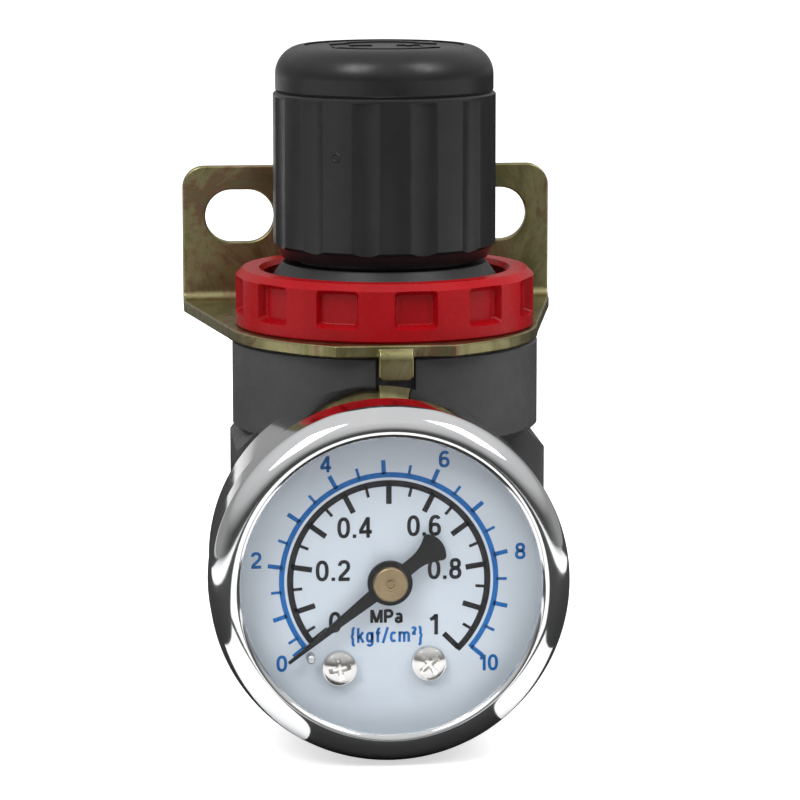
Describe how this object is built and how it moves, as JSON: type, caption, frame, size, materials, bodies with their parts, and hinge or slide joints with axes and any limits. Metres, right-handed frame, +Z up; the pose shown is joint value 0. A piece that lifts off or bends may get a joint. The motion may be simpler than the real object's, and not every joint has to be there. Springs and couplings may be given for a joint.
{
  "type": "air pressure regulator",
  "caption": "Air pressure regulator with a push-to-lock knob, panel nut, angle bracket, two threaded ports and a dial gauge.",
  "frame": {"origin": "on the knob axis, in the flat lower face of the bottom plug", "axes": "+Z up along the knob axis, +X from the inlet port to the outlet port, -Y towards the gauge face, +Y towards the wall behind the bracket"},
  "size_m": [0.0504, 0.0817, 0.0826],
  "materials": {
    "cast_black": "satin black paint on die casting",
    "yellow_zinc": "yellow chromated zinc",
    "nut_red": "gloss",
    "bonnet_black": "semi-gloss",
    "knob_black": "semi-gloss",
    "steel": "machined",
    "spring_steel": "drawn wire",
    "brass": "machined",
    "rubber": "matte",
    "gauge_chrome": "polished",
    "screw_chrome": "plated",
    "lens_clear": "clear",
    "dial_white": "satin white enamel",
    "pointer_black": "matte black"
  },
  "bodies": {
    "housing": {"body_casting": "cast_black", "mounting_bracket": "yellow_zinc", "panel_nut": "nut_red", "bonnet": "bonnet_black", "thrust_washer": "brass", "main_spring": "spring_steel", "diaphragm": "rubber", "valve_spring": "spring_steel", "bottom_plug": "bonnet_black", "bottom_plug_oring": "rubber", "rear_port_plug": "steel", "rear_plug_seal": "rubber", "gauge_case": "gauge_chrome", "gauge_bezel": "gauge_chrome", "gauge_lens": "lens_clear", "gauge_gasket": "rubber", "gauge_dial": "dial_white", "gauge_stop_pin": "steel", "gauge_dial_screws": "screw_chrome", "gauge_dial_posts": "brass", "gauge_case_screws": "screw_chrome", "gauge_bourdon_tube": "brass", "gauge_tube_tip": "brass", "gauge_stem": "brass", "gauge_rear_plate": "brass", "gauge_front_plate": "brass", "gauge_plate_pillars": "brass", "gauge_movement_screws": "steel", "gauge_hairspring": "spring_steel"},
    "adjuster": {"adjusting_screw": "steel", "screw_circlip": "steel"},
    "knob_group": {"knob": "knob_black", "knob_top_plate": "knob_black"},
    "nut_slide": {"spring_nut": "brass"},
    "diaphragm_stack": {"lower_spring_seat": "steel", "diaphragm_lower_disc": "brass"},
    "valve": {"valve_poppet": "brass", "valve_seal": "rubber", "valve_oring": "rubber"},
    "sector_group": {"gauge_sector": "brass", "gauge_sector_arbor": "steel", "gauge_link_pin": "steel"},
    "link_group": {"gauge_link": "brass"},
    "pointer_group": {"gauge_pointer": "pointer_black", "gauge_pointer_hub": "brass", "gauge_arbor_pinion": "brass"}
  },
  "joints": [
    {"name": "knob_turn", "type": "hinge", "parent": "housing", "child": "adjuster", "pos_m": [0, 0, 0.068], "axis": [0, 0, -1], "range_deg": [0, 1728]},
    {"name": "knob_lift", "type": "slide", "parent": "adjuster", "child": "knob_group", "axis": [0, 0, 1], "range_m": [0, 0.003]},
    {"name": "spring_nut_travel", "type": "slide", "parent": "housing", "child": "nut_slide", "axis": [0, 0, -1], "range_m": [0, 0.006], "deforming": ["main_spring"]},
    {"name": "diaphragm_travel", "type": "slide", "parent": "housing", "child": "diaphragm_stack", "axis": [0, 0, -1], "range_m": [0, 0.0008], "stiffness_N_per_m": 1500, "deforming": ["diaphragm"]},
    {"name": "valve_travel", "type": "slide", "parent": "housing", "child": "valve", "axis": [0, 0, -1], "range_m": [0, 0.0008], "stiffness_N_per_m": 500, "deforming": ["valve_spring"]},
    {"name": "sector_swing", "type": "hinge", "parent": "housing", "child": "sector_group", "pos_m": [0.00191, -0.0422, 0.01634], "axis": [0, -1, 0], "range_deg": [0, 37.6], "stiffness_Nm_per_rad": 0.001},
    {"name": "pointer_turn", "type": "hinge", "parent": "housing", "child": "pointer_group", "pos_m": [-0.00375, -0.045, 0.022], "axis": [0, 1, 0], "range_deg": [0, 263.3]},
    {"name": "link_swing", "type": "hinge", "parent": "sector_group", "child": "link_group", "pos_m": [0.00376, -0.0429, 0.01257], "axis": [0, -1, 0], "range_deg": [-37.7, 0]}
  ],
  "couplings": [
    {"joint": "knob_turn", "follows": "spring_nut_travel", "rad_per_m": 5026.5},
    {"joint": "valve_travel", "follows": "diaphragm_travel", "ratio": 1},
    {"joint": "pointer_turn", "follows": "sector_swing", "ratio": 7},
    {"joint": "link_swing", "follows": "sector_swing", "ratio": -1}
  ]
}
